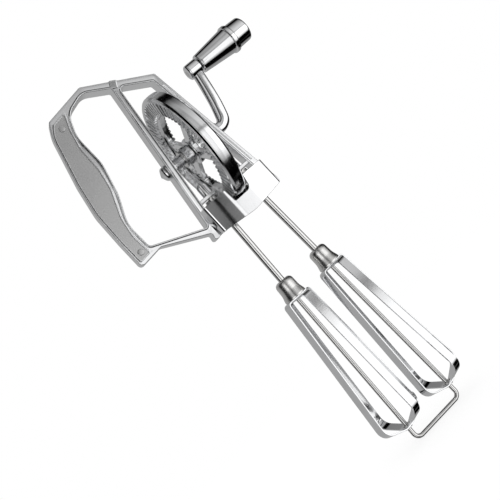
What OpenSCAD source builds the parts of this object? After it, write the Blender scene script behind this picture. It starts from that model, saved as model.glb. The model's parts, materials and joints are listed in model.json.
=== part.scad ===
// Rotary egg beater with a cast D-handle frame, a side crank and two four-blade beaters.
// Frame: +Z up along the beaters, +X towards the crank, -Y towards the front.
// Origin: underside of the loop wire, midway between the two beaters.

/* [Beater layout] */
// Half the distance between the two beater axes at the loop wire
loop_half = 19.8; // [19.4:0.1:20.4]
// Inward lean of each beater axis, in degrees
splay = 2.1; // [2.0:0.05:2.2]
// Turn of the blades from the line between the two beaters, in degrees
blade_turn = 22.5; // [20:0.5:25]

/* [Beaters] */
// Radius of a beater at its widest, to the outside of the blades
cage_r = 19.9; // [18.5:0.1:20.5]
// Radius of a beater at its shoulder
shoulder_r = 11.0; // [10:0.1:12]
// Height of the blades' top plates
cage_top = 117.8; // [115:0.1:120]
// Height of the blades' lowest point
cage_bottom = 10.9; // [10:0.1:13]
// Width of a blade strip
blade_w = 6.2; // [5:0.1:7]
// Thickness of a blade strip
blade_t = 0.9; // [0.7:0.05:1.0]
// Radius of the bend between a blade's side and its bottom
blade_bend = 8; // [5:0.5:10]
// Outer radius of the beater tube
tube_r = 2.2; // [2.1:0.05:2.4]
// Radius of the loop wire
wire_r = 1.45; // [1.3:0.05:1.5]
// Radius of the ferrule at its body
ferrule_r = 6.6; // [6:0.1:7]
// Radius of the ferrule at its flared foot
ferrule_foot_r = 7.7; // [7.2:0.1:8.2]
// Height of the ferrule
ferrule_h = 13.6; // [12:0.1:15]

/* [Drive wheel] */
// Height of the axle
axle_z = 228.5; // [228:0.1:229]
// Outer radius of the wheel's rim
wheel_r = 43.5; // [42.5:0.1:43.5]
// Half width of the wheel's rim, to the tips of its teeth
wheel_half = 4.7; // [4.6:0.05:4.8]
// Outer and inner radius of the toothed ring
teeth_out_r = 39.7; // [39.4:0.1:40]
teeth_in_r = 30.3; // [29.8:0.1:30.6]
// Depth of the wheel's teeth
teeth_h = 1.9; // [1.7:0.05:2.0]
// Number of teeth on each face of the wheel, a multiple of four
wheel_teeth = 60; // [60]
// Number of teeth on a pinion
pinion_teeth = 15; // [15]
// Outer radius of a pinion
pinion_r = 9.4; // [9.2:0.05:9.45]
// Half width of a spoke
spoke_half = 3.2; // [3:0.1:4]
// Turn of the four spokes from the vertical, in degrees
spoke_turn = 60; // [50:1:62]
// Radius of the wheel's hub
hub_r = 6.5; // [6:0.1:7]
// Half length of the hub
hub_half = 8.4; // [7.5:0.1:8.6]
// Radius of the axle
axle_r = 2.5; // [2.3:0.05:2.7]

/* [Crank and knob] */
// Distance from the axle to the knob's spindle
throw = 39; // [38:0.1:40]
// Outward lean of the crank arm, in degrees
arm_lean = 11.5; // [10:0.5:13]
// Length of the knob, with its cap
knob_l = 40; // [36:0.5:42]
// Radius of the knob at its small end and at its bead
knob_small_r = 6.4; // [5.5:0.1:7]
knob_bead_r = 9.8; // [9:0.1:10.5]

/* [Frame casting] */
// Depth of the frame's bars, front to back
bar_depth = 11; // [10:0.1:12]
// Depth of the handle, front to back
handle_depth = 9.4; // [8.5:0.1:10]
// Depth of each recess in the handle
recess = 2.2; // [1.8:0.1:2.4]
// Thickness of a handle panel
panel_t = 1.4; // [1:0.1:1.6]

/* [Gear guard] */
// Top of the guard
guard_top = 196; // [195:0.1:196.5]
// Height of the guard's lower edge at its ends
guard_low_end = 178; // [177.5:0.1:178.5]
// Height of the front guard's lower edge at its middle
guard_low_mid = 174.3; // [173.5:0.1:175.5]
// Height of the back guard's lower edge at its middle
guard_back_mid = 177.4; // [176.5:0.1:177.5]
// Thickness of the guard's sheet
guard_t = 1.2; // [0.8:0.1:1.4]

/* [Hidden] */
$fn = 72;

CHROME = [0.82, 0.83, 0.85];
STEEL = [0.70, 0.71, 0.73];
SATIN = [0.62, 0.62, 0.63];
BRASS = [0.78, 0.68, 0.42];
ARC_STEPS = 8;

// Running clearance between a shaft and its bearing
run_gap = 0.05;
// Room left between parts that pass each other
side_gap = 0.3;
// Height of the thin ring that closes the joint between a straight bar and its bend
weld = 0.01;

// Heights along a beater, from the loop wire up
bridge_low = 178;
bridge_top = 183.6;
bush_flange = 1;
pinion_low = 189.8;
pinion_top = 196.6;
shelf_low = 199.2;
shelf_top = 201.6;
tube_top = 202.4;
cap_top = 211;
cap_r = 3.65;
wire_top = 206.5;
tube_bottom = cage_top - 2 * blade_t - 0.1;
plate_gap = 0.05;

// Left and right faces of the frame where the axle passes
pad_r = 5.2;
pad_left = [-22.9, -16.2];
pad_right = [16.0, 21.6];
bush_r = 3.8;

// Knob spindle's place on the crank arm
eye_x = 37.2;
eye_z = axle_z + throw;
eye_r = 5.2;
eye_half = 4;
spindle_r = 2;

// ---------- outline helpers ----------

function unit(v) = v / norm(v);

// Corner of an outline, p = [x, y, radius], turned into the points of its arc
function corner(a, p, b) =
    let (c = [p[0], p[1]], r = p[2],
         u = unit([a[0], a[1]] - c), v = unit([b[0], b[1]] - c),
         half = acos(max(-1, min(1, u * v))) / 2)
    r == 0 ? [c] :
    let (o = c + unit(u + v) * r / sin(half),
         p0 = c + u * r / tan(half), p1 = c + v * r / tan(half),
         a0 = atan2(p0[1] - o[1], p0[0] - o[0]), a1 = atan2(p1[1] - o[1], p1[0] - o[0]),
         turn = ((a1 - a0 + 540) % 360) - 180)
    [for (i = [0:ARC_STEPS]) o + r * [cos(a0 + turn * i / ARC_STEPS), sin(a0 + turn * i / ARC_STEPS)]];

// Closed outline with rounded corners
function rounded(p) =
    [for (i = [0:len(p) - 1]) each corner(p[(i + len(p) - 1) % len(p)], p[i], p[(i + 1) % len(p)])];

// Open path with rounded corners
function rounded_path(p) =
    [[p[0][0], p[0][1]],
     for (i = [1:len(p) - 2]) each corner(p[i - 1], p[i], p[i + 1]),
     [p[len(p) - 1][0], p[len(p) - 1][1]]];

// Points of a path moved sideways by d
function shifted(p, d) =
    [for (i = [0:len(p) - 1])
        let (t = unit(p[min(i + 1, len(p) - 1)] - p[max(i - 1, 0)]))
        p[i] + d * [-t[1], t[0]]];

function reversed(p) = [for (i = [len(p) - 1:-1:0]) p[i]];

// Closed outline made of a half path and its mirror image about the Z axis
function doubled(p) = concat(p, reversed([for (q = p) [-q[0], q[1]]]));

// ---------- placing helpers ----------

// Draws the XY plane's outline in the XZ plane, centred front to back
module upright(depth, y = 0) {
    translate([0, y + depth / 2, 0]) rotate([90, 0, 0]) linear_extrude(depth) children();
}

// Moves a part built on Z onto a beater's axis; side is -1 for left and 1 for right
module on_beater(side) {
    translate([side * loop_half, 0, 0]) rotate([0, -side * splay, 0]) children();
}

// Moves a part built on Z onto the axle, Z becoming X
module on_axle(x = 0) {
    translate([x, 0, axle_z]) rotate([0, 90, 0]) children();
}

// Moves a part built on Z onto the knob's spindle
module on_spindle(x = 0) {
    translate([eye_x + x, 0, eye_z]) rotate([0, 90, 0]) children();
}

module ring(r_out, r_in, h) {
    difference() {
        cylinder(r = r_out, h = h);
        translate([0, 0, -1]) cylinder(r = r_in, h = h + 2);
    }
}

// ---------- frame ----------

frame_edge = [[13.9, 280.2, 1.6], [27.7, 178, 1.5], [-25.5, 178, 0.5], [-26.5, 176.9, 1],
              [-30.1, 177, 1.6], [-29.0, 181.8, 0.8], [-58.1, 196.5, 2], [-74.9, 194.8, 2.5],
              [-75.1, 214, 60], [-74.6, 236, 40], [-70.6, 257, 60], [-61.6, 290, 25],
              [-57.0, 298.2, 2.5], [-28.2, 303, 2]];
hand_window = [[-13.6, 289.8, 1.5], [-28.1, 186.3, 1.5], [-62.9, 201.4, 3], [-63.6, 220, 25],
               [-55.3, 237, 25], [-49.6, 258, 30], [-50.0, 280, 20], [-44.2, 294.3, 12],
               [-29.5, 299.0, 9]];
gear_window = [[9.7, 277.0, 1.5], [22.0, bridge_top, 1], [-23.1, bridge_top, 1], [-9.4, 287.9, 2.5]];
panel_edge = [[-46.4, 296.2, 0.6], [-50.6, 286.5, 15], [-53.9, 273, 20], [-54.0, 257, 25],
              [-56.8, 243, 20], [-64.4, 225.5, 20], [-66.6, 212, 15], [-65.5, 198.8, 1],
              [-73.0, 198.0, 1], [-73.4, 214, 60], [-72.9, 236, 40], [-69.0, 257, 60],
              [-60.2, 289, 20], [-55.6, 294.6, 1]];
// Everything left of this line is the handle, which is thinner than the bars
handle_zone = [[-80, 190], [-58.5, 190], [-58.5, 205], [-47, 262], [-45, 294], [-52, 305], [-80, 305]];
rivet_spots = [[-53.4, 290.1], [-69.2, 202.2]];
rivet_r = 1.1;
rivet_head_r = 2.1;
rivet_head_h = 0.6;

module handle_recess(side) {
    y = side * (handle_depth / 2 - recess / 2 + 0.5);
    upright(recess + 1, y) polygon(rounded(panel_edge));
}

// Plan of the guard, seen from above: the front half, open at the back
function guard_plan(inset) =
    rounded_path([[-26.3 + inset, -bar_depth / 2, 0], [-24.2 + inset, -12.2 + inset * 0.8, 2.6 - inset],
                  [0, -15 + inset, 12], [24.2 - inset, -12.2 + inset * 0.8, 2.6 - inset],
                  [26.3 - inset, -bar_depth / 2, 0]]);

// Round pads that square the slanted bars off where the axle passes
module axle_pad(span) {
    on_axle(span[0]) cylinder(r = pad_r, h = span[1] - span[0]);
}

// Shelf above a pinion that holds a bearing cap
module cap_shelf(side) {
    reach = 13.2;
    intersection() {
        on_beater(side) translate([0, 0, shelf_low]) {
            cylinder(r = cap_r + 1.8, h = shelf_top - shelf_low);
            translate([side > 0 ? 0 : -reach, -4, 0]) cube([reach, 8, shelf_top - shelf_low]);
        }
        upright(bar_depth) polygon([[-27, 198], [26, 198], [26, 203], [-27, 203]]);
    }
}

module frame_casting() {
    color(CHROME) difference() {
        union() {
            difference() {
                upright(bar_depth) polygon(rounded(frame_edge));
                upright(bar_depth + 2) polygon(rounded(hand_window));
                upright(bar_depth + 2) polygon(rounded(gear_window));
                for (side = [-1, 1])
                    upright(2, side * (handle_depth / 2 + 1)) polygon(handle_zone);
            }
            bridge();
            axle_pad(pad_left);
            axle_pad(pad_right);
            top_joint_pad();
            for (side = [-1, 1]) cap_shelf(side);
        }
        for (side = [-1, 1]) {
            handle_recess(side);
            on_beater(side) {
                translate([0, 0, 170]) cylinder(r = 4.2, h = 17);
                translate([0, 0, bridge_top + bush_flange]) cylinder(r = pinion_r + 0.7, h = 13.6);
                translate([0, 0, shelf_low - 1]) cylinder(r = cap_r, h = 6);
            }
        }
        on_axle(-30) cylinder(r = bush_r, h = 60);
        for (spot = rivet_spots) translate([spot[0], 20, spot[1]]) rotate([90, 0, 0])
            cylinder(r = rivet_r, h = 40);
    }
}

// Block that joins the two bars under the wheel and carries the shaft bushes
module bridge() {
    intersection() {
        translate([0, 0, bridge_low]) linear_extrude(bridge_top - bridge_low)
            polygon(concat(guard_plan(guard_t), reversed([for (p = guard_plan(guard_t)) [p[0], -p[1]]])));
        upright(40) polygon([[-25.6, 170], [24.4, 170], [24.0, 190], [-24.6, 190]]);
    }
}

// Raised pad on the top bar over the left rib
module top_joint_pad() {
    translate([-12.2, 0, 288.6]) rotate([0, 29, 0])
        translate([-2.6, -bar_depth / 2 - 0.5, 0]) cube([5.2, bar_depth + 1, 5.6]);
}

module handle_panel(side) {
    y = side * (handle_depth / 2 - recess + panel_t / 2);
    color(SATIN) difference() {
        upright(panel_t, y) polygon(rounded(panel_edge));
        for (spot = rivet_spots) translate([spot[0], 20, spot[1]]) rotate([90, 0, 0])
            cylinder(r = rivet_r, h = 40);
    }
}

module handle_panel_front() { handle_panel(-1); }

module handle_panel_back() { handle_panel(1); }

module panel_rivets() {
    seat = handle_depth / 2 - recess + panel_t;
    color(SATIN) for (spot = rivet_spots) translate([spot[0], 0, spot[1]]) rotate([90, 0, 0]) {
        translate([0, 0, -seat]) cylinder(r = rivet_r, h = 2 * seat);
        for (end = [-1, 1]) scale([1, 1, end]) translate([0, 0, seat])
            rotate_extrude() polygon(rounded_path([[0, 0, 0], [rivet_head_r, 0, 0],
                                                   [rivet_head_r, rivet_head_h, 0.4],
                                                   [0, rivet_head_h, 0]]));
    }
}

// ---------- gear guard ----------

// Front view of the guard: level top with a notch for the wheel, lower edge dropping to its middle
function guard_face(low_mid) =
    [[-30, guard_top, 0], [-7.2, guard_top, 0.6], [-6.4, 184.4, 1.6], [6.0, 184.4, 5],
     [8.2, guard_top, 0.6], [30, guard_top, 0], [30, guard_low_end, 0],
     [0, low_mid, 25], [-30, guard_low_end, 0]];

module guard_half(low_mid) {
    color(CHROME) intersection() {
        translate([0, 0, 170]) linear_extrude(30)
            polygon(concat(guard_plan(0), reversed(guard_plan(guard_t))));
        upright(60) polygon(rounded(guard_face(low_mid)));
    }
}

module guard_front() { guard_half(guard_low_mid); }

module guard_back() { mirror([0, 1, 0]) guard_half(guard_back_mid); }

// ---------- bearings and loop wire ----------

module axle_bush(span) {
    color(BRASS) on_axle(span[0]) ring(bush_r, axle_r + run_gap, span[1] - span[0]);
}

module axle_bush_left() { axle_bush(pad_left); }

module axle_bush_right() { axle_bush(pad_right); }

module lower_bush(side) {
    color(BRASS) on_beater(side) {
        translate([0, 0, bridge_low + 0.4])
            ring(4.2, tube_r + run_gap, bridge_top - bridge_low);
        translate([0, 0, bridge_top + 0.35]) ring(5.4, tube_r + run_gap, bush_flange - 0.1);
    }
}

module lower_bush_left() { lower_bush(-1); }

module lower_bush_right() { lower_bush(1); }

// Closed cap on the frame's shelf: the tube turns in its mouth and the loop wire is pressed into it
module bearing_cap(side) {
    color(CHROME) on_beater(side) difference() {
        translate([0, 0, shelf_low]) rotate_extrude()
            polygon(rounded_path([[0, 0, 0], [cap_r, 0, 0], [cap_r, cap_top - shelf_low, 3.2],
                                  [0, cap_top - shelf_low, 0]]));
        translate([0, 0, shelf_low - 1]) cylinder(r = tube_r + run_gap, h = tube_top - shelf_low + 1.3);
        translate([0, 0, shelf_low]) cylinder(r = wire_r, h = wire_top - shelf_low);
    }
}

module bearing_cap_left() { bearing_cap(-1); }

module bearing_cap_right() { bearing_cap(1); }

// U-shaped wire: the bottom loop, and two legs that are the beaters' fixed axles
module loop_wire() {
    bend = 4;
    z0 = wire_r + bend;
    x0 = loop_half - z0 * tan(splay) - bend / cos(splay);
    leg = [x0 + bend * cos(splay), z0 + bend * sin(splay)];
    color(STEEL) {
        translate([-x0, 0, wire_r]) rotate([0, 90, 0]) cylinder(r = wire_r, h = 2 * x0);
        for (side = [0, 1]) mirror([side, 0, 0]) {
            translate([x0 - 0.1, 0, wire_r]) rotate([0, 90, 0]) cylinder(r = wire_r + weld, h = 0.2);
            translate([x0, 0, z0]) rotate([90, 0, 0]) rotate([0, 0, -90])
                rotate_extrude(angle = 90 + splay) translate([bend, 0]) circle(r = wire_r);
            translate([leg[0], 0, leg[1]]) rotate([0, -splay, 0]) {
                cylinder(r = wire_r, h = (wire_top * cos(splay) - leg[1]) / cos(splay));
                translate([0, 0, -0.1]) cylinder(r = wire_r + weld, h = 0.2);
            }
        }
    }
}

// ---------- drive ----------

// One side of the wheel's section, [radius, distance from the mid plane]
rim_floor = wheel_half - teeth_h;
web_half = 1.6;
wheel_section = [[0, hub_half], [hub_r - 0.6, hub_half], [hub_r, hub_half - 0.6], [hub_r, web_half],
                 [28.4, web_half], [29.2, rim_floor], [teeth_out_r, rim_floor],
                 [teeth_out_r, wheel_half], [41.4, wheel_half], [42.6, 4.1], [43.2, 3], [wheel_r, 1.6]];

module wheel_tooth() {
    root = 1.05;
    tip = 0.52;
    rotate([90, 0, 90]) translate([0, 0, teeth_in_r]) linear_extrude(teeth_out_r - teeth_in_r + 0.4)
        polygon([[-root, rim_floor - 0.3], [root, rim_floor - 0.3], [root, rim_floor],
                 [tip, wheel_half], [-tip, wheel_half], [-root, rim_floor]]);
}

module wheel_teeth_ring() {
    for (i = [0:wheel_teeth - 1]) rotate((i + 0.5) * 360 / wheel_teeth) wheel_tooth();
}

module drive_wheel() {
    color(CHROME) on_axle() difference() {
        union() {
            rotate_extrude()
                polygon(concat(wheel_section, reversed([for (p = wheel_section) [p[0], -p[1]]])));
            wheel_teeth_ring();
            mirror([0, 0, 1]) wheel_teeth_ring();
        }
        translate([0, 0, -20]) cylinder(r = axle_r, h = 40);
        translate([0, 0, -5]) linear_extrude(10) difference() {
            circle(r = 28.2);
            circle(r = 9.4);
            for (a = [-spoke_turn, spoke_turn]) rotate(a) square([80, 2 * spoke_half], center = true);
        }
        translate([0, 0, 5.4]) rotate([90, 0, 0]) cylinder(r = pin_r, h = 30, center = true);
    }
}

pin_r = 1;

module hub_pin() {
    color(STEEL) on_axle() translate([0, 0, 5.4]) rotate([90, 0, 0])
        cylinder(r = pin_r, h = 2 * hub_r + 0.8, center = true);
}

washer_t = 1.3;
washer_r = 5.9;

module thrust_washers() {
    color(STEEL) for (side = [-1, 1])
        on_axle(side > 0 ? hub_half : -hub_half - washer_t) ring(washer_r, axle_r, washer_t);
}

module axle_spacer(from, to) {
    color(CHROME) on_axle(from) ring(3.8, axle_r, to - from);
}

module axle_spacer_left() { axle_spacer(pad_left[1] + side_gap, -hub_half - washer_t); }

module axle_spacer_right() { axle_spacer(hub_half + washer_t, pad_right[0] - side_gap); }

module axle_cap() {
    h = 4.2;
    color(CHROME) on_axle(pad_left[0] - side_gap) mirror([0, 0, 1]) difference() {
        rotate_extrude() polygon(rounded_path([[0, 0, 0], [4.9, 0, 0.5], [4.9, 1.6, 2.2], [0, h, 0]]));
        translate([0, 0, -1]) cylinder(r = axle_r, h = 3.4);
    }
}

// Axle, bend, tapered arm and eye in one piece
module crank_arm() {
    root_x = pad_right[1] + side_gap;
    bend_r = 7.5;
    arm_r = 4;
    arm_end_r = 3.5;
    bend_x = 23.2;
    turn = 90 - arm_lean;
    foot = [bend_x + bend_r * sin(turn), axle_z + bend_r * (1 - cos(turn))];
    color(CHROME) difference() {
        union() {
            on_axle(pad_left[0] - side_gap - 2.2) cylinder(r = axle_r, h = root_x - pad_left[0] + side_gap + 3);
            on_axle(root_x) cylinder(r = arm_r, h = bend_x - root_x);
            on_axle(bend_x - 0.1) cylinder(r = arm_r + weld, h = 0.2);
            translate([bend_x, 0, axle_z + bend_r]) rotate([90, 0, 0]) rotate([0, 0, -90])
                rotate_extrude(angle = turn) translate([bend_r, 0]) circle(r = arm_r);
            translate([foot[0], 0, foot[1]]) rotate([0, arm_lean, 0]) {
                cylinder(r1 = arm_r, r2 = arm_end_r, h = (eye_z - foot[1]) / cos(arm_lean) - 0.5);
                translate([0, 0, -0.1]) cylinder(r = arm_r + weld, h = 0.2);
            }
            on_spindle(-eye_half) rotate_extrude()
                polygon(rounded_path([[0, 0, 0], [eye_r, 0, 1], [eye_r, 2 * eye_half, 1],
                                      [0, 2 * eye_half, 0]]));
        }
        on_spindle(-10) cylinder(r = spindle_r, h = 20);
        on_axle() translate([0, 0, 5.4]) rotate([90, 0, 0]) cylinder(r = pin_r, h = 30, center = true);
    }
}

// ---------- knob ----------

knob_start = eye_half + 0.5;
bead_at = 25.5;
bead_w = 3.4;
neck_l = 4;
neck_r = 6.9;
grip_end = knob_start + bead_at + bead_w + neck_l;
knob_bore_r = spindle_r + run_gap;

module knob_spindle() {
    color(STEEL) on_spindle() {
        translate([0, 0, -eye_half - 0.6]) cylinder(r = spindle_r, h = grip_end + eye_half + 2.2);
        translate([0, 0, -eye_half - 1.4]) cylinder(r = 3.1, h = 1.4);
        translate([0, 0, grip_end + side_gap]) cylinder(r = 3.4, h = 1.1);
    }
}

module knob_grip() {
    color(CHROME) on_spindle(knob_start) difference() {
        rotate_extrude() polygon(rounded_path([[0, 0, 0], [knob_small_r, 0, 1],
            [8.9, bead_at, 0.6], [knob_bead_r, bead_at + 0.3, 0.6], [knob_bead_r, bead_at + bead_w, 0.8],
            [neck_r, bead_at + bead_w, 0], [neck_r, bead_at + bead_w + neck_l, 0.5],
            [0, bead_at + bead_w + neck_l, 0]]));
        translate([0, 0, -1]) cylinder(r = knob_bore_r, h = 60);
    }
}

module knob_cap() {
    at = bead_at + bead_w;
    len = knob_l - at;
    color(CHROME) on_spindle(knob_start + at) difference() {
        rotate_extrude() polygon(rounded_path([[0, 0, 0], [8.7, 0, 0.4], [8.35, len, 1.8], [0, len, 0]]));
        translate([0, 0, -1]) cylinder(r = neck_r, h = 9.6);
    }
}

// ---------- beaters ----------

module beater_tube(side) {
    color(STEEL) on_beater(side) translate([0, 0, tube_bottom])
        ring(tube_r, wire_r + run_gap, tube_top - tube_bottom);
}

// Fifteen-tooth pinion with a short hub that rides on the lower bush
module pinion(side) {
    root = pinion_r - 2;
    step = 360 / pinion_teeth;
    start = side > 0 ? 180 : 0;
    color(STEEL) on_beater(side) difference() {
        union() {
            translate([0, 0, pinion_low]) linear_extrude(pinion_top - pinion_low)
                polygon([for (i = [0:pinion_teeth - 1]) for (k = [[-0.3, root], [-0.27, root],
                         [-0.085, pinion_r], [0.085, pinion_r], [0.27, root]])
                         let (a = start + (i + k[0]) * step) k[1] * [cos(a), sin(a)]]);
            translate([0, 0, bridge_top + bush_flange + side_gap])
                cylinder(r = 5, h = pinion_top + 1.6 - bridge_top - bush_flange);
        }
        translate([0, 0, 180]) cylinder(r = tube_r, h = 30);
    }
}

// Domed collar with a flared foot over the blades' top plates
module ferrule(side) {
    wall = 1.1;
    color(CHROME) on_beater(side) translate([0, 0, cage_top]) rotate_extrude()
        polygon(concat(
            rounded_path([[tube_r, ferrule_h, 0], [ferrule_r - 0.3, ferrule_h, 3], [ferrule_r, 5, 12],
                          [ferrule_foot_r, 1.2, 2.5], [ferrule_foot_r, 0, 0]]),
            rounded_path([[ferrule_foot_r - wall, 0, 0], [ferrule_r - wall, 5, 6],
                          [ferrule_r - wall - 0.3, ferrule_h - 1.5, 2.2], [tube_r, ferrule_h - 1.5, 0]])));
}

// Flat strip bent into a closed hoop: plate on top, two blades, and the bottom
module hoop(side, top, bottom, turn, eyelet_r) {
    flat = 3.9;
    half = rounded_path([[1, top, 0], [shoulder_r, top, 2.6],
                         [cage_r, 17.2 + bottom - cage_bottom, blade_bend], [flat, bottom, 6], [1, bottom, 0]]);
    color(CHROME) on_beater(side) rotate(turn) difference() {
        upright(blade_w) difference() {
            polygon(doubled(half));
            polygon(doubled(shifted(half, -blade_t)));
        }
        translate([0, 0, top - 5]) cylinder(r = tube_r, h = 10);
        translate([0, 0, bottom - 5]) cylinder(r = eyelet_r, h = 10);
    }
}

eyelet_r = 2.1;

module outer_hoop(side) { hoop(side, cage_top, cage_bottom, blade_turn, eyelet_r); }

module inner_hoop(side) {
    step = blade_t + plate_gap;
    hoop(side, cage_top - step, cage_bottom + step, blade_turn + 90, eyelet_r);
}

// Rolled eyelet that joins the two hoops round the loop wire's leg
module eyelet(side) {
    stack = 2 * blade_t + plate_gap;
    lip = 0.5;
    color(STEEL) on_beater(side) translate([0, 0, cage_bottom]) {
        translate([0, 0, -lip]) ring(eyelet_r, wire_r + run_gap, stack + 2 * lip);
        translate([0, 0, -lip]) ring(3.1, wire_r + run_gap, lip);
        translate([0, 0, stack]) ring(3.1, wire_r + run_gap, lip);
    }
}

module left_shaft() { beater_tube(-1); }

module left_pinion() { pinion(-1); }

module left_ferrule() { ferrule(-1); }

module left_outer_hoop() { outer_hoop(-1); }

module left_inner_hoop() { inner_hoop(-1); }

module left_eyelet() { eyelet(-1); }

module right_shaft() { beater_tube(1); }

module right_pinion() { pinion(1); }

module right_ferrule() { ferrule(1); }

module right_outer_hoop() { outer_hoop(1); }

module right_inner_hoop() { inner_hoop(1); }

module right_eyelet() { eyelet(1); }

frame_casting();
handle_panel_front();
handle_panel_back();
panel_rivets();
guard_front();
guard_back();
axle_bush_left();
axle_bush_right();
lower_bush_left();
lower_bush_right();
bearing_cap_left();
bearing_cap_right();
loop_wire();
drive_wheel();
crank_arm();
hub_pin();
axle_spacer_left();
axle_spacer_right();
thrust_washers();
axle_cap();
knob_spindle();
knob_grip();
knob_cap();
left_shaft();
left_pinion();
left_ferrule();
left_outer_hoop();
left_inner_hoop();
left_eyelet();
right_shaft();
right_pinion();
right_ferrule();
right_outer_hoop();
right_inner_hoop();
right_eyelet();
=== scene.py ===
import json
import math

import bmesh
import bpy
from mathutils import Matrix, Vector


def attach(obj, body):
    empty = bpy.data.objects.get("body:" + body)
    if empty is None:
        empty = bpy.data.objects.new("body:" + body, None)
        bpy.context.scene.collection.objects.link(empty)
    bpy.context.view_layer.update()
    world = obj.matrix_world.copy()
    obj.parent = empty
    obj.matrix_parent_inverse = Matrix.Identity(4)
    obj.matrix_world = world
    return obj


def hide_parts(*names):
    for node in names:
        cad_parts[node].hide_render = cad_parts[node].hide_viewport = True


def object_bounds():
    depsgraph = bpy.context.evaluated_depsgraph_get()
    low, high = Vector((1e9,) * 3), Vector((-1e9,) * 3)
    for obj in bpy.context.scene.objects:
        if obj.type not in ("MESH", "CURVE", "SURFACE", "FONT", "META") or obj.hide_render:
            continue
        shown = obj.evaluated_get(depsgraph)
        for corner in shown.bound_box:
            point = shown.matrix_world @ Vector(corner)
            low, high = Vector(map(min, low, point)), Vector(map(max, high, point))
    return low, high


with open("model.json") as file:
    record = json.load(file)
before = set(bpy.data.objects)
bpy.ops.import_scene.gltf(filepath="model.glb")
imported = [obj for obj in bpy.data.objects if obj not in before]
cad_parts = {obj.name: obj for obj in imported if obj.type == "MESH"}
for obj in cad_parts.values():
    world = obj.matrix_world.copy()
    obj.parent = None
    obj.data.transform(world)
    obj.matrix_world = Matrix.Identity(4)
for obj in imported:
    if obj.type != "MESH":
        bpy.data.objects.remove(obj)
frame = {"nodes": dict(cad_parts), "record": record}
nodes = frame["nodes"]
cad_lo, cad_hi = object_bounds()
MM = 0.001
WHITE = (1.0, 1.0, 1.0)


# ---------- materials ----------

def rgb(value, tint=WHITE):
    """A grey of that value, tinted, as Blender's four numbers."""
    return (value * tint[0], value * tint[1], value * tint[2], 1.0)


class Tree:
    """Short names for building a node tree. Sources are output sockets or plain numbers."""

    def __init__(self, tree):
        self.tree = tree
        tree.nodes.clear()

    def add(self, kind, **settings):
        """A new node. A setting named in_X sets the input named or numbered X."""
        node = self.tree.nodes.new(kind)
        for key, value in settings.items():
            if key.startswith("in_"):
                name = key[3:]
                socket = int(name) if name.isdigit() else name.replace("_", " ")
                node.inputs[socket].default_value = value
            else:
                setattr(node, key, value)
        return node

    def feed(self, source, target):
        self.tree.links.new(source, target)

    def math(self, operation, a, b):
        node = self.add("ShaderNodeMath", operation=operation)
        for socket, value in zip(node.inputs, (a, b)):
            if isinstance(value, (int, float)):
                socket.default_value = value
            else:
                self.feed(value, socket)
        return node.outputs[0]

    def ramp(self, source, stops):
        """Grey values along a source, as (place, value) stops."""
        node = self.add("ShaderNodeValToRGB")
        items = node.color_ramp.elements
        items.remove(items[-1])
        for i, (place, value) in enumerate(stops):
            item = items[0] if i == 0 else items.new(place)
            item.position = place
            item.color = rgb(value)
        self.feed(source, node.inputs[0])
        return node.outputs[0]

    def noise(self, place, scale, detail, **settings):
        node = self.add("ShaderNodeTexNoise", in_Scale=scale, in_Detail=detail, **settings)
        self.feed(place, node.inputs["Vector"])
        return node.outputs["Fac"]

    def blend(self, a, b, share=1.0):
        """One colour multiplied by another, by the given share."""
        node = self.add("ShaderNodeMix", data_type="RGBA", blend_type="MULTIPLY")
        factor, first, second = node.inputs[0], node.inputs[6], node.inputs[7]
        for socket, value in ((factor, share), (first, a), (second, b)):
            if isinstance(value, (int, float, tuple)):
                socket.default_value = value
            else:
                self.feed(value, socket)
        return node.outputs[2]

    def bump(self, height, strength, distance):
        node = self.add("ShaderNodeBump", in_Strength=strength, in_Distance=distance)
        self.feed(height, node.inputs["Height"])
        return node.outputs["Normal"]


PATCH_SCALE = 90.0
LINE_SCALE = 260.0
FINE_SCALE = 1500.0
# Tone that hollows are darkened towards as painted shade, and edges as wear
HOLLOW_SHADE_AND_WEAR_TONE = 0.55
HOLLOW_AND_WEAR_ROUGHNESS = 0.06
# How much a place is darkened, by its pointiness: hollows are near 0 and get painted shade, flat faces at a
# half get none, and edges near 1 get wear.
HOLLOW_SHADE_AND_WEAR_PLACES = [(0.0, 1.0), (0.40, 0.75), (0.48, 0.0), (0.53, 0.0), (0.62, 0.6), (1.0, 0.8)]
RUB_DEPTH = 0.0004
RUB_TURN = (0.5, 0.35, 0.8)
RUB_STRETCH = (0.6, 0.6, 9.0)
DRAWN_STRETCH = (9.0, 9.0, 0.3)


def new_material(name):
    """A new material, its tree, and the input that its surface is fed to."""
    mat = bpy.data.materials.new(name)
    mat.use_nodes = True
    t = Tree(mat.node_tree)
    return mat, t, t.add("ShaderNodeOutputMaterial").inputs["Surface"]


def new_metal(name):
    """A new metallic material, its tree, its shader, and the place on the object that its noises follow."""
    mat, t, surface = new_material(name)
    shader = t.add("ShaderNodeBsdfPrincipled", in_Metallic=1.0)
    t.feed(shader.outputs[0], surface)
    return mat, t, shader, t.add("ShaderNodeTexCoord").outputs["Object"]


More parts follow.
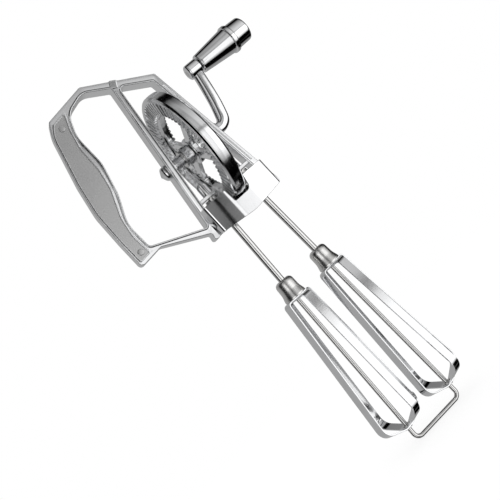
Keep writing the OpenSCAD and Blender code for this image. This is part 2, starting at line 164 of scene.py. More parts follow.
def metal(name, base, rough, rough_spread, tint, scratch=0.02, grain=0.0, dull=0.1, drawn=False):
    """Plated or bare metal, with patches, rub marks, painted shade that darkens its hollows, and wear that
    darkens its edges.

    rough_spread is how far the roughness varies, scratch the strength of the marks, grain an addition to the
    share of the fine ones, dull how far the painted shade in hollows and the wear on edges darken the
    colour. On a drawn piece the marks run along it.
    """
    mat, t, shader, place = new_metal(name)
    patches = t.noise(place, PATCH_SCALE, 5.0, in_Roughness=0.6)
    fine = t.noise(place, FINE_SCALE, 3.0, in_Roughness=0.7)
    # Mask read from pointiness: painted shade in hollows and wear on edges
    hollow_shade_and_wear = t.ramp(t.add("ShaderNodeNewGeometry").outputs["Pointiness"], HOLLOW_SHADE_AND_WEAR_PLACES)
    tone = t.ramp(patches, [(0.30, base * 0.95), (0.55, base), (0.75, min(1.0, base * 1.03))])
    tinted = t.blend(tone, rgb(1.0, tint))
    # Darkens the colour: painted shade in the hollows, wear on the edges
    shaded_and_worn = t.blend(tinted, rgb(HOLLOW_SHADE_AND_WEAR_TONE), t.math("MULTIPLY", hollow_shade_and_wear, dull))
    t.feed(shaded_and_worn, shader.inputs["Base Color"])
    uneven = t.ramp(patches, [(0.3, 0.0), (0.7, 1.0)])
    roughness = t.math("ADD", t.math("MULTIPLY", uneven, rough_spread), rough)
    roughness = t.math("ADD", roughness, t.math("MULTIPLY", hollow_shade_and_wear, HOLLOW_AND_WEAR_ROUGHNESS))
    t.feed(roughness, shader.inputs["Roughness"])
    stretch = t.add("ShaderNodeMapping")
    stretch.inputs["Rotation"].default_value = (0.0, 0.0, 0.0) if drawn else RUB_TURN
    stretch.inputs["Scale"].default_value = DRAWN_STRETCH if drawn else RUB_STRETCH
    t.feed(place, stretch.inputs["Vector"])
    lines = t.noise(stretch.outputs[0], LINE_SCALE, 2.0, in_Distortion=0.2)
    marks = t.math("ADD", t.math("MULTIPLY", lines, 0.6), t.math("MULTIPLY", fine, 0.4 + grain))
    t.feed(t.bump(marks, scratch, RUB_DEPTH), shader.inputs["Normal"])
    return mat


def panel_finish(name):
    """Satin grey insert: a grey metal with fine sandblasted grain."""
    mat, t, shader, place = new_metal(name)
    broad = t.noise(place, 45.0, 4.0)
    grain = t.noise(place, 2600.0, 3.0, in_Roughness=0.7)
    both = t.math("ADD", t.math("MULTIPLY", broad, 0.8), t.math("MULTIPLY", grain, 0.2))
    t.feed(t.ramp(both, [(0.35, 0.555), (0.5, 0.575), (0.65, 0.59)]), shader.inputs["Base Color"])
    t.feed(t.ramp(both, [(0.35, 0.22), (0.65, 0.30)]), shader.inputs["Roughness"])
    t.feed(t.bump(grain, 0.03, 0.0003), shader.inputs["Normal"])
    return mat


COOL = (0.985, 0.99, 1.0)
CHROME = metal("bright_chrome", 0.90, 0.05, 0.05, tint=COOL)
CAST = metal("cast_chrome", 0.86, 0.09, 0.07, tint=COOL, scratch=0.03, grain=0.2, dull=0.25)
STEEL = metal("drawn_steel", 0.70, 0.12, 0.06, tint=(1.0, 0.995, 0.985), grain=-0.3, dull=0.15, drawn=True)
SATIN = metal("satin_nickel", 0.80, 0.24, 0.08, tint=(1.0, 0.995, 0.98), scratch=0.05, grain=0.3, dull=0.25)
PANEL = panel_finish("grey_insert")

# Everything that isn't listed here is bright chrome.
FINISHES = [
    (CAST, ["frame_casting", "drive_wheel"]),
    (SATIN, ["left_ferrule", "right_ferrule"]),
    (PANEL, ["handle_panel_front", "handle_panel_back", "panel_rivets"]),
    (STEEL, ["axle_bush_left", "axle_bush_right", "lower_bush_left", "lower_bush_right", "loop_wire",
             "hub_pin", "thrust_washers", "knob_spindle", "left_shaft", "right_shaft",
             "left_pinion", "right_pinion", "left_eyelet", "right_eyelet"]),
]


def finish_of(node):
    for finish, members in FINISHES:
        if node in members:
            return finish
    return CHROME


for name, obj in nodes.items():
    obj.data.materials.clear()
    obj.data.materials.append(finish_of(name))


# ---------- pieces ----------

behaviour = frame["record"]["behaviour"]
body_of = {node: body for body, members in behaviour["bodies"].items() for node in members}
joint_place = {joint["name"]: [value / MM for value in joint["pos_m"]] for joint in behaviour["joints"]}

SAME_PLACE = 2e-6
FLAT_ANGLE = math.radians(0.4)
SHARP_ANGLE = math.radians(32.0)
ROUNDING_SEGMENTS = 3


def adopt(obj, node):
    """Puts a finished mesh in place of a CAD node."""
    bpy.context.scene.collection.objects.link(obj)
    obj.data.materials.append(finish_of(node))
    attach(obj, body_of[node])
    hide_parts(node)


def applied(obj):
    """The object with its modifiers made real."""
    bpy.context.scene.collection.objects.link(obj)
    graph = bpy.context.evaluated_depsgraph_get()
    mesh = bpy.data.meshes.new_from_object(obj.evaluated_get(graph))
    bpy.context.scene.collection.objects.unlink(obj)
    obj.modifiers.clear()
    obj.data = mesh
    return obj


def soften(node, width):
    """Replaces a CAD node with a copy that has its edges rounded."""
    bm = bmesh.new()
    bm.from_mesh(nodes[node].data)
    bmesh.ops.remove_doubles(bm, verts=bm.verts, dist=SAME_PLACE)
    bmesh.ops.dissolve_limit(bm, angle_limit=FLAT_ANGLE, verts=bm.verts, edges=bm.edges)
    mesh = bpy.data.meshes.new(node + "_finish")
    bm.to_mesh(mesh)
    bm.free()
    for face in mesh.polygons:
        face.use_smooth = True
    mesh.set_sharp_from_angle(angle=SHARP_ANGLE)
    obj = bpy.data.objects.new(node + "_finish", mesh)
    bevel = obj.modifiers.new("edges", "BEVEL")
    bevel.width = width * MM
    bevel.segments = ROUNDING_SEGMENTS
    bevel.limit_method = "ANGLE"
    bevel.angle_limit = SHARP_ANGLE
    bevel.harden_normals = True
    adopt(applied(obj), node)


# ---------- outlines ----------

CURVE_STEPS = 6


def outline(corners, steps=6):
    """Closed outline from corners (x, y, rounding radius), with that many steps to a rounding.

    Gives a list of points, each with the direction that leads out of the outline there.
    """
    area = sum(p[0] * q[1] - q[0] * p[1] for p, q in zip(corners, corners[1:] + corners[:1]))
    if area < 0:
        corners = corners[::-1]
    loop = []
    for i, (x, y, radius) in enumerate(corners):
        corner = Vector((x, y))
        before = (Vector(corners[i - 1][:2]) - corner).normalized()
        after = (Vector(corners[(i + 1) % len(corners)][:2]) - corner).normalized()
        half = math.acos(max(-1.0, min(1.0, before.dot(after)))) / 2
        middle = corner + (before + after).normalized() * (radius / math.sin(half))
        swell = 1 if before.cross(after) < 0 else -1
        start = corner + before * (radius / math.tan(half)) - middle
        turn = swell * (math.pi - 2 * half)
        for k in range(steps + 1):
            arm = start.copy()
            arm.rotate(Matrix.Rotation(turn * k / steps, 2))
            loop.append((middle + arm, arm.normalized() * swell))
    return loop


def circle(x, y, radius, steps=48):
    """A round outline."""
    turns = [2 * math.pi * k / steps for k in range(steps)]
    spokes = [Vector((math.cos(turn), math.sin(turn))) for turn in turns]
    return [(Vector((x, y)) + spoke * radius, spoke) for spoke in spokes]


def mirrored(corners):
    """The corners in reverse order, mirrored to the other side of x = 0."""
    return [(-x, y, radius) for x, y, radius in corners[::-1]]


def curve(points):
    """Smooth open line through the points, each a tuple of numbers."""
    line = []
    last = len(points) - 1
    for i in range(last):
        p, q, r, s = [Vector(points[max(0, min(last, i + k))]) for k in (-1, 0, 1, 2)]
        for step in range(CURVE_STEPS):
            t = step / CURVE_STEPS
            bend = (2 * p - 5 * q + 4 * r - s) * t * t
            line.append(0.5 * (2 * q + (r - p) * t + bend + (3 * q - p - 3 * r + s) * t ** 3))
    return line + [Vector(points[-1])]


# The profile of an edge is a list of steps from the outline to the face, each of four numbers:
# distance in from the outline, height over the face, and how far the surface leans outwards and to the face.

BEAD_SLOPE = math.radians(50)
BEAD_SHOULDER = 0.2
BEAD_BLEND = (-0.1, 0.99)


def round_edge(radius, steps=4):
    turns = [math.pi / 2 * k / steps for k in range(steps + 1)]
    return [(radius * (1 - math.cos(turn)), radius * (math.sin(turn) - 1), math.cos(turn), math.sin(turn))
            for turn in turns]


def beaded_edge(radius, width, height, fall):
    """Rounded edge with a low raised bead beside it, which drops to the face over the width fall."""
    crest = [(into, rise + height, out, face) for into, rise, out, face in round_edge(radius)]
    slope = (-math.sin(BEAD_SLOPE), math.cos(BEAD_SLOPE))
    return crest + [(width - fall, height, *BEAD_BLEND),
                    (width - fall * (1 - BEAD_SHOULDER), height * (1 - BEAD_SHOULDER), *slope),
                    (width - fall * BEAD_SHOULDER, height * BEAD_SHOULDER, *slope),
                    (width, 0.0, *BEAD_BLEND)]


# ---------- meshes ----------

class Shell:
    """A mesh in millimetres, built from rings of points.

    A point's lean is the direction that the surface faces there when it is shaded.
    """

    def __init__(self):
        self.bm = bmesh.new()
        self.lean = self.bm.verts.layers.float_vector.new("lean")

    def ring(self, points, leans=()):
        verts = [self.bm.verts.new(point) for point in points]
        for vert, lean in zip(verts, leans):
            vert[self.lean] = Vector(lean).normalized()
        return verts

    def wall(self, a, b, smooth=True):
        for i in range(len(a)):
            j = (i + 1) % len(a)
            self.bm.faces.new((a[i], a[j], b[j], b[i])).smooth = smooth

    def walls(self, rings, smooth=True):
        for a, b in zip(rings, rings[1:]):
            self.wall(a, b, smooth)

    def cap(self, rings, facing):
        """Flat face between rings: the first is its outside, the others are its holes."""
        pairs = [(ring[i - 1], ring[i]) for ring in rings for i in range(len(ring))]
        edges = [self.bm.edges.get(pair) or self.bm.edges.new(pair) for pair in pairs]
        made = bmesh.ops.triangle_fill(self.bm, use_beauty=True, edges=edges, normal=facing)
        for item in made["geom"]:
            if isinstance(item, bmesh.types.BMFace):
                item.smooth = True

    def face_outwards(self):
        """Turns every face outwards. A smooth face that is then against its leans is turned to them."""
        bmesh.ops.recalc_face_normals(self.bm, faces=self.bm.faces)
        inward = []
        for face in self.bm.faces:
            leaning = sum((vert[self.lean] for vert in face.verts), Vector())
            if face.smooth and leaning.dot(face.normal) < 0:
                inward.append(face)
        bmesh.ops.reverse_faces(self.bm, faces=inward)

    def piece(self, node):
        """Turns the shell into the piece that stands for a CAD node."""
        self.face_outwards()
        mesh = bpy.data.meshes.new(node + "_finish")
        bmesh.ops.scale(self.bm, vec=(MM, MM, MM), verts=self.bm.verts)
        leans = [vert[self.lean].copy() for vert in self.bm.verts]
        self.bm.to_mesh(mesh)
        self.bm.free()
        mesh.normals_split_custom_set([leans[vert] if face.use_smooth else face.normal
                                       for face in mesh.polygons for vert in face.vertices])
        adopt(bpy.data.objects.new(node + "_finish", mesh), node)


def slab(shell, outer, holes, half, place, middle=0.0, pockets=()):
    """Plate with shaped edges, the same on both faces.

    outer and each of holes are (outline, profile). Each of pockets is (outline, profile, floor height).
    half gives half the plate's thickness at a point. place turns (point, height) into a place in space.
    """
    origin = Vector(place(Vector((0, 0)), 0))
    up = Vector(place(Vector((0, 0)), 1)) - origin

    def rim(loop, profile, toward, side, follow=True):
        """Rings along a profile. toward is -1 if they go into the outline and 1 if they go out of it;
        follow is False if the height of the face is read on the outline itself."""
        rings = []
        for into, rise, out, face in profile:
            moved = [(p + n * (toward * into)) for p, n in loop]
            read = moved if follow else [p for p, n in loop]
            leans = [Vector(place(n * (-toward * out), 0)) - origin + up * (side * face) for p, n in loop]
            points = [place(p, middle + side * (half(q) + rise)) for p, q in zip(moved, read)]
            rings.append(shell.ring(points, leans))
        return rings

    mouths = {}
    for side in (-1, 1):
        mouths[side] = []
        tops = []
        for toward, (loop, profile) in [(-1, outer)] + [(1, hole) for hole in holes]:
            rings = rim(loop, profile, toward, side)
            shell.walls(rings)
            mouths[side].append(rings[0])
            tops.append(rings[-1])
        for loop, profile, floor in pockets:
            bottom = shell.ring([place(p, middle + side * floor) for p, n in loop])
            rings = [bottom] + rim(loop, profile, 1, side, follow=False)
            shell.walls(rings)
            shell.cap([bottom], up * side)
            tops.append(rings[-1])
        shell.cap(tops, up * side)
    for low, high in zip(mouths[-1], mouths[1]):
        shell.wall(low, high)


def turned(shell, section, centre, steps):
    """Ring-shaped solid about an axis along x, from a closed section (distance along the axis, radius)."""
    rings = []
    for k in range(steps):
        turn = 2 * math.pi * k / steps
        spoke = Vector((0.0, math.sin(turn), math.cos(turn)))
        points = [centre + Vector((p.x, 0, 0)) + spoke * p.y for p, n in section]
        leans = [Vector((n.x, 0, 0)) + spoke * n.y for p, n in section]
        rings.append(shell.ring(points, leans))
    shell.walls(rings + rings[:1])


def swept(shell, stations, steps, squareness):
    """Bar along stations (x, z, half width, half depth) in the upright plane, closed at both ends.

    Its section is an oval at squareness 2, and closer to a box above that.
    """
    power = 2 / squareness
    rings = []
    for i, (x, z, wide, deep) in enumerate(stations):
        before = stations[max(0, i - 1)]
        after = stations[min(len(stations) - 1, i + 1)]
        along = Vector((after[0] - before[0], 0, after[1] - before[1])).normalized()
        side = Vector((along.z, 0, -along.x))
        ring = []
        for k in range(steps):
            turn = 2 * math.pi * k / steps
            across = math.copysign(abs(math.cos(turn)) ** power, math.cos(turn))
            outwards = math.copysign(abs(math.sin(turn)) ** power, math.sin(turn))
            ring.append(Vector((x, 0, z)) + side * (wide * across) + Vector((0, deep * outwards, 0)))
        rings.append(shell.ring(ring))
    shell.walls(rings)
    for ring in (rings[0], rings[-1]):
        shell.bm.faces.new(ring).smooth = True


def upright(p, height):
    """Place of an outline point (x, z) at a height towards the back."""
    return Vector((p.x, height, p.y))


def level(p, height):
    """Place of an outline point (x, y) at a height."""
    return Vector((p.x, p.y, height))


# ---------- frame ----------
# Corners are (x, z, rounding radius) in the upright plane, or (x, y, rounding radius) seen from above.

AXLE_Z = joint_place["crank_spin"][2]
SHAFT_FOOT_X = joint_place["right_beater_spin"][0]
SHAFT_LEAN = math.radians(2.1)
SHARP = 0.01

FRAME_EDGE = [(13.9, 280.2, 1.8), (27.7, 178, 1.6), (-25.5, 178, 0.9), (-26.5, 176.9, 0.9),
              (-30.1, 177, 1.6), (-29.0, 181.8, 1.2), (-58.1, 196.5, 2.5), (-74.9, 194.8, 2.5),
              (-75.1, 214, 60), (-74.6, 236, 40), (-70.6, 257, 60), (-61.6, 290, 25),
              (-57.0, 298.2, 2.5), (-28.2, 303, 3)]
HAND_WINDOW = [(-13.6, 289.8, 1.5), (-28.1, 186.3, 1.5), (-62.9, 201.4, 3), (-63.6, 220, 25),
               (-55.3, 237, 25), (-49.6, 258, 30), (-50.0, 280, 20), (-44.2, 294.3, 12), (-29.5, 299.0, 9)]
BRIDGE_LOW = 178.0
BRIDGE_TOP = 183.6
GEAR_WINDOW = [(9.7, 277.0, 1.5), (22.0, BRIDGE_TOP, 1), (-23.1, BRIDGE_TOP, 1), (-9.4, 287.9, 2.5)]
PANEL_EDGE = [(-46.4, 296.2, 0.6), (-50.6, 286.5, 15), (-53.9, 273, 20), (-54.0, 257, 25),
              (-56.8, 243, 20), (-64.4, 225.5, 20), (-66.6, 212, 15), (-65.5, 198.8, 1),
              (-73.0, 198.0, 1), (-73.4, 214, 60), (-72.9, 236, 40), (-69.0, 257, 60),
              (-60.2, 289, 20), (-55.6, 294.6, 1)]
POCKET_FLOOR = 2.5
BAR_GROOVE = [(12.4, 271, 0.3), (13.5, 271, 0.3), (23.1, 200, 0.3), (22.0, 200, 0.3)]
GROOVE_DEPTH = 0.2
GROOVE_EDGE = [(0.15, 0.0, 0.0, 1.0)]

BAR_HALF = 5.5
HANDLE_HALF = 4.7
HANDLE_X = -57.0
SWELL_LENGTH = 20.0


def casting_half(p):
    """Half the casting's depth: thinner at the handle, full at the bars."""
    t = max(0.0, min(1.0, (p.x - HANDLE_X) / SWELL_LENGTH))
    return HANDLE_HALF + (BAR_HALF - HANDLE_HALF) * t * t * (3 - 2 * t)


def shaft_x(side, z):
    """Where a beater's axis is at a height."""
    return side * (SHAFT_FOOT_X - z * math.tan(SHAFT_LEAN))


GUARD_SHEET = 1.2
GUARD_PLAN = [(-26.3, -BAR_HALF, SHARP), (-24.2, -12.2, 2.6), (-16, -13.75, 60), (-7.5, -14.75, 30)]
# A far corner, which closes the outline behind the guard.
GUARD_CLOSING = (0, 40, SHARP)
END_MARGIN = 0.002
LINE_ORDER = 0.001


def guard_line(inset, back=1):
    """Open line along a guard seen from above, from the left end to the right, with directions out of it.

    back is -1 for the guard at the back.
    """
    closed = outline(GUARD_PLAN + mirrored(GUARD_PLAN) + [GUARD_CLOSING])
    kept = [(p, n) for p, n in closed if p.y < -BAR_HALF + END_MARGIN]

    def progress(item):
        """Orders points from left to right. At the ends, where they are above each other, y decides."""
        p = item[0]
        return p.x + math.copysign(LINE_ORDER, p.x) * p.y

    kept.sort(key=progress)
    return [(Vector((p.x - n.x * inset, back * (p.y - n.y * inset))), Vector((n.x, back * n.y)))
            for p, n in kept]


def casting_plate(shell):
    """The handle and the bars: a plate with two windows, pockets for the panels, and a groove down a bar."""
    windows = [(outline(HAND_WINDOW, 8), beaded_edge(0.5, 1.5, 0.3, 0.8)),
               (outline(GEAR_WINDOW), beaded_edge(0.45, 1.4, 0.25, 0.7))]
    pockets = [(outline(PANEL_EDGE), beaded_edge(0.15, 0.75, 0.25, 0.3), POCKET_FLOOR),
               (outline(BAR_GROOVE), GROOVE_EDGE, BAR_HALF - GROOVE_DEPTH)]
    slab(shell, (outline(FRAME_EDGE), round_edge(0.5)), windows, casting_half, upright, pockets=pockets)


SHAFT_BORE = 4.25
BRIDGE_GAP = 0.02
GUARD_GAP = 0.05


def bridge(shell):
    """Block that fills the space between the guards and carries the beater shafts."""
    inset = GUARD_SHEET + GUARD_GAP
    plan = guard_line(inset) + guard_line(inset, -1)[::-1]
    bores = [(circle(shaft_x(side, BRIDGE_LOW), 0, SHAFT_BORE), round_edge(0.3, 2)) for side in (-1, 1)]
    slab(shell, (plan, round_edge(0.5, 3)), bores, lambda p: (BRIDGE_TOP - BRIDGE_LOW) / 2 - BRIDGE_GAP,
         level, middle=(BRIDGE_LOW + BRIDGE_TOP) / 2)


BOSS_ENDS = ((-22.9, -16.2), (16.0, 21.6))
BOSS_BORE = 3.8
BOSS_RADIUS = 5.2


def axle_bosses(shell):
    for low, high in BOSS_ENDS:
        section = outline([(low, BOSS_BORE, 0.1), (low, BOSS_RADIUS, 0.5),
                           (high, BOSS_RADIUS, 0.5), (high, BOSS_BORE, 0.1)], 3)
        turned(shell, section, Vector((0, 0, AXLE_Z)), 48)


TRAY_Z = 200.4
TRAY_HALF = 1.2
TRAY_DEPTH = 4.2
TRAY_TIP = 5.4
TRAY_REACH = 8.5
TRAY_BORE = 3.7


def shaft_trays(shell):
    """Ledge from each bar to its beater's shaft, over the pinion."""
    for side in (-1, 1):
        x = shaft_x(side, TRAY_Z)
        tip = x - side * TRAY_TIP
        root = x + side * TRAY_REACH
        tray = outline([(tip, -TRAY_DEPTH, 2.5), (root, -TRAY_DEPTH, 0.5), (root, TRAY_DEPTH, 0.5),
                        (tip, TRAY_DEPTH, 2.5)])
        slab(shell, (tray, round_edge(0.4, 3)), [(circle(x, 0, TRAY_BORE, 36), round_edge(0.2, 2))],
             lambda p: TRAY_HALF, level, middle=TRAY_Z)


PAD_PLACE = Vector((-12.2, 0, 288.6))
PAD_TURN = Matrix.Rotation(math.radians(29), 3, "Y")
PAD_EDGE = [(-2.6, 0, 1), (2.6, 0, 1), (2.6, 5.6, 1), (-2.6, 5.6, 1)]
PAD_PROUD = 0.5


def joint_pad(shell):
    """Raised pad on the top bar over the left rib."""
    slab(shell, (outline(PAD_EDGE), round_edge(0.8)), [], lambda p: BAR_HALF + PAD_PROUD,
         lambda p, height: PAD_PLACE + PAD_TURN @ Vector((p.x, height, p.y)))


def frame_casting():
    shell = Shell()
    casting_plate(shell)
    bridge(shell)
    axle_bosses(shell)
    shaft_trays(shell)
    joint_pad(shell)
    shell.piece("frame_casting")


# ---------- guards ----------

GUARD_TOP = 196.0
GUARD_NOTCH = [(-7.2, GUARD_TOP, 0.6), (-6.6, 186.5, 1.2), (6.4, 186.5, 4), (8.2, GUARD_TOP, 0.6)]
GUARD_LOW_END = 178.0


def guard(node, back, low_middle):
    """Sheet bent along the guard's plan: built flat, cut at the bends, then bent.

    back is -1 for the guard at the back. low_middle is the height of the middle of the lower edge.
    """
    line = guard_line(0.0)
    reach = [0.0]
    for (a, _), (b, _) in zip(line, line[1:]):
        reach.append(reach[-1] + (b - a).length)
    reach = [length - reach[-1] / 2 for length in reach]
    end = reach[-1]
    edge = [(-end, GUARD_TOP, 0.6)] + GUARD_NOTCH + [(end, GUARD_TOP, 0.6), (end, GUARD_LOW_END, 0.6),
                                                     (0, low_middle, 30), (-end, GUARD_LOW_END, 0.6)]
    shell = Shell()
    slab(shell, (outline(edge), round_edge(0.3, 3)), [], lambda p: GUARD_SHEET / 2, upright,
         middle=GUARD_SHEET / 2)
    bends = reach[1:-1]
    for bend in bends:
        geom = shell.bm.verts[:] + shell.bm.edges[:] + shell.bm.faces[:]
        bmesh.ops.bisect_plane(shell.bm, geom=geom, dist=1e-4, plane_co=(bend, 0, 0), plane_no=(1, 0, 0))
    for vert in shell.bm.verts:
        place, depth, z = vert.co
        lean = vert[shell.lean].copy()
        k = sum(1 for bend in bends if bend <= place + 1e-6)
        t = (place - reach[k]) / max(1e-6, reach[k + 1] - reach[k])
        on_line = line[k][0].lerp(line[k + 1][0], t)
        out = line[k][1].lerp(line[k + 1][1], t).normalized()
        along = Vector((-out.y, out.x))
        bent = on_line - out * depth
        bent_lean = along * lean.x - out * lean.y
        vert.co = (bent.x, bent.y * back, z)
        vert[shell.lean] = Vector((bent_lean.x, bent_lean.y * back, lean.z))
    shell.piece(node)


# ---------- drive ----------

TEETH = 60
TOOTH_SECTION = [(-1.06, 2.5), (-1.02, 2.95), (-0.6, 4.45), (-0.38, 4.7),
                 (0.38, 4.7), (0.6, 4.45), (1.02, 2.95), (1.06, 2.5)]
TOOTH_RINGS = ((30.2, 0.9), (30.6, 0.25), (31.2, 0.0), (40.0, 0.0))
TOOTH_CREST = 3.0

SPOKE_TURN = math.radians(60)
SPOKE_HALF = 3.2
WEB_HALF = 1.6
WEB_RADIUS = 28.95
WEB_EDGE = 28.2
WEB_STEP = math.radians(9)
HUB_EDGE = 9.4
HUB_STEP = math.radians(30)
WHEEL_BORE = 4.5
HUB_HALF = [(8.4, 2.5, 0.1), (8.4, 6.5, 0.7), (2.6, 6.5, 1.0), (1.9, 8.4, 0.4)]

RING_FLOOR = 2.8
RIM_HALF = [(1.6, 28.7, 0.2), (RING_FLOOR, 29.5, 0.5), (RING_FLOOR, 39.4, 0.3), (4.3, 39.8, 0.3),
            (4.7, 40.4, 0.4), (4.6, 42.0, 0.9), (3.4, 43.3, 1.2)]
RIM_CROWN = (0.0, 43.55, 12)


def wheel_window(middle, spread):
    """Opening between two spokes: middle is its direction, spread the angle from there to each spoke."""
    wide = spread - math.asin(SPOKE_HALF / WEB_EDGE)
    narrow = spread - math.asin(SPOKE_HALF / HUB_EDGE)
    count = round(2 * wide / WEB_STEP)
    bow = WEB_EDGE / math.cos(wide / count) ** 0.5
    corners = [(WEB_EDGE, middle - wide, 2.0)]
    corners += [(bow, middle - wide + 2 * wide * k / count, 4) for k in range(1, count)]
    corners.append((WEB_EDGE, middle + wide, 2.0))
    count = round(2 * narrow / HUB_STEP)
    corners += [(HUB_EDGE, middle + narrow - 2 * narrow * k / count, 1.0) for k in range(count + 1)]
    return outline([(math.sin(turn) * r, math.cos(turn) * r, rounding) for r, turn, rounding in corners], 4)


def tooth(shell, face, angle):
    """Tapered tooth on one face of the wheel. face is -1 or 1, angle its direction from the axle."""
    out = Vector((0, math.sin(angle), math.cos(angle)))
    side = Vector((0, math.cos(angle), -math.sin(angle)))
    rings = []
    for radius, lower in TOOTH_RINGS:
        points = []
        for across, height in TOOTH_SECTION:
            height -= lower * (height > TOOTH_CREST)
            points.append(Vector((face * height, 0, AXLE_Z)) + out * radius + side * across)
        rings.append(shell.ring(points))
    shell.walls(rings, smooth=False)
    for ring in (rings[0], rings[-1]):
        shell.bm.faces.new(ring)


def drive_wheel():
    shell = Shell()
    hub = Vector((0, 0, AXLE_Z))
    turned(shell, outline(RIM_HALF + [RIM_CROWN] + mirrored(RIM_HALF), 4), hub, 144)
    beside = math.pi / 2
    spans = ((0, SPOKE_TURN), (math.pi, SPOKE_TURN),
             (beside, beside - SPOKE_TURN), (-beside, beside - SPOKE_TURN))
    holes = [(wheel_window(middle, spread), round_edge(0.45)) for middle, spread in spans]
    holes.append((circle(0, 0, WHEEL_BORE), round_edge(0.2, 2)))
    slab(shell, (circle(0, 0, WEB_RADIUS, 96), round_edge(0.2, 2)), holes,
         lambda p: WEB_HALF, lambda p, height: Vector((height, p.x, AXLE_Z + p.y)))
    turned(shell, outline(HUB_HALF + mirrored(HUB_HALF), 4), hub, 64)
    for k in range(TEETH):
        for face in (-1, 1):
            tooth(shell, face, 2 * math.pi * (k + 0.5) / TEETH)
    shell.piece("drive_wheel")


# Stations of the crank: (x, radius) along the axle, then (x, z, half width, half depth) up the arm.
AXLE_STATIONS = [(-25.3, 2.2), (-25.1, 2.5), (21.3, 2.5), (21.4, 3.3), (21.7, 3.6)]
ARM_STATIONS = [(22.2, AXLE_Z, 3.7, 3.6), (25.2, 228.7, 3.8, 3.6), (28.4, 231.0, 4.1, 3.6),
                (30.3, 235.6, 4.1, 3.5), (32.3, 242.0, 4.0, 3.5), (34.0, 249.0, 3.9, 3.4),
                (35.5, 256.0, 3.8, 3.3), (36.8, 263.0, 3.7, 3.2), (37.1, 267.0, 3.3, 3.0)]
EYE = Vector((37.2, 0, joint_place["knob_spin"][2]))
EYE_SECTION = [(-5.45, 2.0, 0.1), (-5.45, 5.2, 1.6), (4, 5.2, 0.9), (4, 2.0, 0.1)]


def crank_arm():
    shell = Shell()
    axle = [(x, AXLE_Z, radius, radius) for x, radius in AXLE_STATIONS]
    arm = [tuple(station) for station in curve(ARM_STATIONS)]
    swept(shell, axle + arm, 32, 2.5)
    turned(shell, outline(EYE_SECTION, 5), EYE, 56)
    shell.piece("crank_arm")


frame_casting()
guard("guard_front", 1, 174.3)
guard("guard_back", -1, 177.4)
drive_wheel()
crank_arm()

# Width of the rounding on the edges of the other pieces
ROUNDING = {
    "handle_panel_front": 0.25, "handle_panel_back": 0.25, "panel_rivets": 0.15,
    "axle_bush_left": 0.3, "axle_bush_right": 0.3, "lower_bush_left": 0.3, "lower_bush_right": 0.3,
    "bearing_cap_left": 0.2, "bearing_cap_right": 0.2,
    "hub_pin": 0.2, "axle_spacer_left": 0.3, "axle_spacer_right": 0.3, "thrust_washers": 0.3,
    "axle_cap": 0.2, "knob_spindle": 0.3, "knob_grip": 0.25, "knob_cap": 0.25,
}
BEATER_ROUNDING = {"shaft": 0.2, "pinion": 0.2, "ferrule": 0.25, "outer_hoop": 0.22, "inner_hoop": 0.22,
                   "eyelet": 0.12}
for side_name in ("left", "right"):
    for part, width in BEATER_ROUNDING.items():
        ROUNDING[side_name + "_" + part] = width
for name, width in ROUNDING.items():
    soften(name, width)


# ---------- floor and backdrop ----------

BACKDROP_RADIUS = 4.0
FLOOR_RADIUS = 2.6
FLOOR_GAP = 0.0002
FLOOR_GLOW = 0.80
FLOOR_TONE = 0.22
FLOOR_FADE = (0.12, 0.55)


def stage_mesh(name, build, shade):
    """A stage object that metal doesn't reflect and that casts no shadow."""
    mesh = bpy.data.meshes.new(name)
    bm = bmesh.new()
    build(bm)
    bm.to_mesh(mesh)
    bm.free()
    obj = bpy.data.objects.new(name, mesh)
    bpy.context.scene.collection.objects.link(obj)
    obj.data.materials.append(shade)
    for face in mesh.polygons:
        face.use_smooth = True
    obj.visible_glossy = False
    obj.visible_shadow = False
    return obj


def glow(t, strength):
    """A white that doesn't depend on the light."""
    return t.add("ShaderNodeEmission", in_Color=rgb(1.0), in_Strength=strength).outputs[0]


def backdrop_material():
    mat, t, surface = new_material("white_backdrop")
    t.feed(glow(t, 1.0), surface)
    return mat


def floor_material():
    """Pale floor that takes shade near the object and fades to the white of the backdrop."""
    mat, t, surface = new_material("pale_floor")
    near = t.add("ShaderNodeAddShader")
    t.feed(glow(t, FLOOR_GLOW), near.inputs[0])
    t.feed(t.add("ShaderNodeBsdfDiffuse", in_Color=rgb(FLOOR_TONE)).outputs[0], near.inputs[1])
    distance = t.add("ShaderNodeVectorMath", operation="LENGTH")
    t.feed(t.add("ShaderNodeTexCoord").outputs["Object"], distance.inputs[0])
    share = t.add("ShaderNodeMapRange", in_From_Min=FLOOR_FADE[0], in_From_Max=FLOOR_FADE[1])
    t.feed(distance.outputs["Value"], share.inputs["Value"])
    mix = t.add("ShaderNodeMixShader")
    t.feed(share.outputs[0], mix.inputs[0])
    t.feed(near.outputs[0], mix.inputs[1])
    t.feed(glow(t, 1.0), mix.inputs[2])
    t.feed(mix.outputs[0], surface)
    return mat


def ball(bm):
    bmesh.ops.create_icosphere(bm, subdivisions=4, radius=BACKDROP_RADIUS)


def disc(bm):
    bmesh.ops.create_circle(bm, cap_ends=True, segments=96, radius=FLOOR_RADIUS)


stage_mesh("backdrop", ball, backdrop_material())
stage_mesh("floor", disc, floor_material()).location = (0, 0, cad_lo.z - FLOOR_GAP)


# ---------- light ----------
# The world is a studio for bright metal: a white front with dark edges, and soft grey behind. Its
# brightness on a screen is the product of three ramps, all in degrees from the front: RISE goes over the
# top and SWEEP round to the right. STREAK is a dark slanting line, kept to directions near level by
# STREAK_SPAN, which is 0 there.

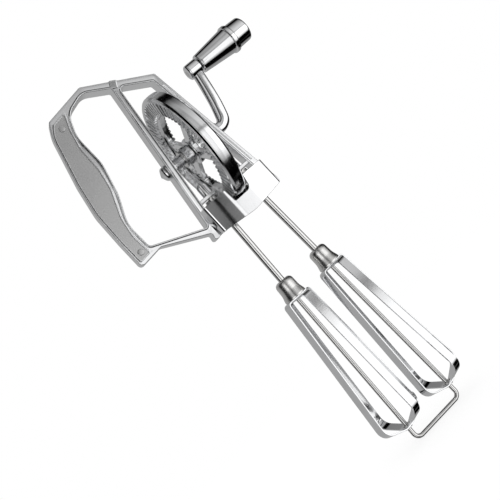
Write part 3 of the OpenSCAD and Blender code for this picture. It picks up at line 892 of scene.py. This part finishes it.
RISE = [(-180, 0.70), (-94, 0.66), (-89, 0.02), (-59, 0.015), (-50, 0.80), (-30, 1.14), (4, 1.14),
        (6, 1.04), (8.6, 1.02), (10.8, 0.56), (13, 0.60), (15, 0.84), (30, 0.82), (70, 0.60), (91, 0.42),
        (95, 0.02), (111, 0.02), (116, 0.64), (180, 0.70)]
SWEEP = [(-180, 0.98), (-105, 0.92), (-94, 0.80), (-89, 0.05), (-51, 0.03), (-47, 0.98), (-20, 1.02),
         (-14, 0.42), (5.2, 0.42), (6.6, 0.92), (13.5, 0.92), (15.2, 0.80), (16.4, 0.80), (17.6, 0.90),
         (22, 0.98), (28, 1.06), (46, 1.06), (57, 0.96), (66, 0.94), (76, 0.86), (91, 0.80), (101, 0.05),
         (133, 0.08), (141, 0.75), (180, 0.98)]
STREAK = [(-5.9, 1.0), (-5.5, 0.02), (-0.9, 0.02), (-0.5, 1.0)]
STREAK_SPAN = [(-4, 1.0), (-2, 0.0), (6, 0.0), (8, 1.0)]
STREAK_SLANT = 1.08
WOBBLE = 0.030
WOBBLE_SCALE = 60.0
SCREEN_GAMMA = 2.2


def studio_world():
    world = bpy.data.worlds.new("studio")
    bpy.context.scene.world = world
    world.use_nodes = True
    t = Tree(world.node_tree)
    direction = t.add("ShaderNodeTexCoord").outputs[0]
    split = t.add("ShaderNodeSeparateXYZ")
    t.feed(direction, split.inputs[0])
    x, y, z = split.outputs
    front = t.math("MULTIPLY", y, -1.0)

    def share_of_turn(along):
        """Angle from the front towards a direction, as a share of a turn, with the front at a half."""
        return t.math("ADD", t.math("DIVIDE", t.math("ARCTAN2", along, front), 2 * math.pi), 0.5)

    def by_degrees(source, stops):
        return t.ramp(source, [(degrees / 360.0 + 0.5, value) for degrees, value in stops])

    tilt = share_of_turn(z)
    swing = share_of_turn(x)
    rise = by_degrees(tilt, RISE)
    sweep = by_degrees(swing, SWEEP)
    wobble = t.math("SUBTRACT", t.noise(direction, WOBBLE_SCALE, 3.0), 0.5)
    slanting = t.math("SUBTRACT", swing, t.math("MULTIPLY", t.math("SUBTRACT", tilt, 0.5), STREAK_SLANT))
    streak = by_degrees(t.math("ADD", t.math("MULTIPLY", wobble, WOBBLE), slanting), STREAK)
    streak = t.math("MAXIMUM", streak, by_degrees(tilt, STREAK_SPAN))
    shown = t.add("ShaderNodeGamma", in_Gamma=SCREEN_GAMMA)
    t.feed(t.blend(t.blend(rise, sweep), streak), shown.inputs["Color"])
    light = t.add("ShaderNodeBackground", in_Strength=1.0)
    t.feed(shown.outputs[0], light.inputs["Color"])
    t.feed(light.outputs[0], t.add("ShaderNodeOutputWorld").inputs["Surface"])


studio_world()


# ---------- camera ----------

AZIMUTH = math.radians(-16.0)
ROLL = math.radians(42.7)
DISTANCE = 0.616
TARGET = Vector((-0.0168, 0.0, 0.1585))
SENSOR = 36.0
FOCAL_LENGTH_PER_WIDTH = 1.98


def place_camera():
    """Camera turned round the target by the azimuth, and rolled about the line of sight."""
    camera = bpy.data.objects.new("camera", bpy.data.cameras.new("camera"))
    bpy.context.scene.collection.objects.link(camera)
    backwards = Vector((math.sin(AZIMUTH), -math.cos(AZIMUTH), 0.0))
    sideways = Vector((math.cos(AZIMUTH), math.sin(AZIMUTH), 0.0))
    upwards = Vector((0.0, 0.0, 1.0))
    right = math.cos(ROLL) * sideways - math.sin(ROLL) * upwards
    up = math.sin(ROLL) * sideways + math.cos(ROLL) * upwards
    turn = Matrix((right, up, backwards)).transposed().to_4x4()
    camera.matrix_world = Matrix.Translation(TARGET + backwards * DISTANCE) @ turn
    camera.data.lens = FOCAL_LENGTH_PER_WIDTH * SENSOR
    camera.data.sensor_width = SENSOR
    camera.data.clip_start = 0.01
    bpy.context.scene.camera = camera


place_camera()
bpy.context.scene.view_settings.view_transform = "Standard"
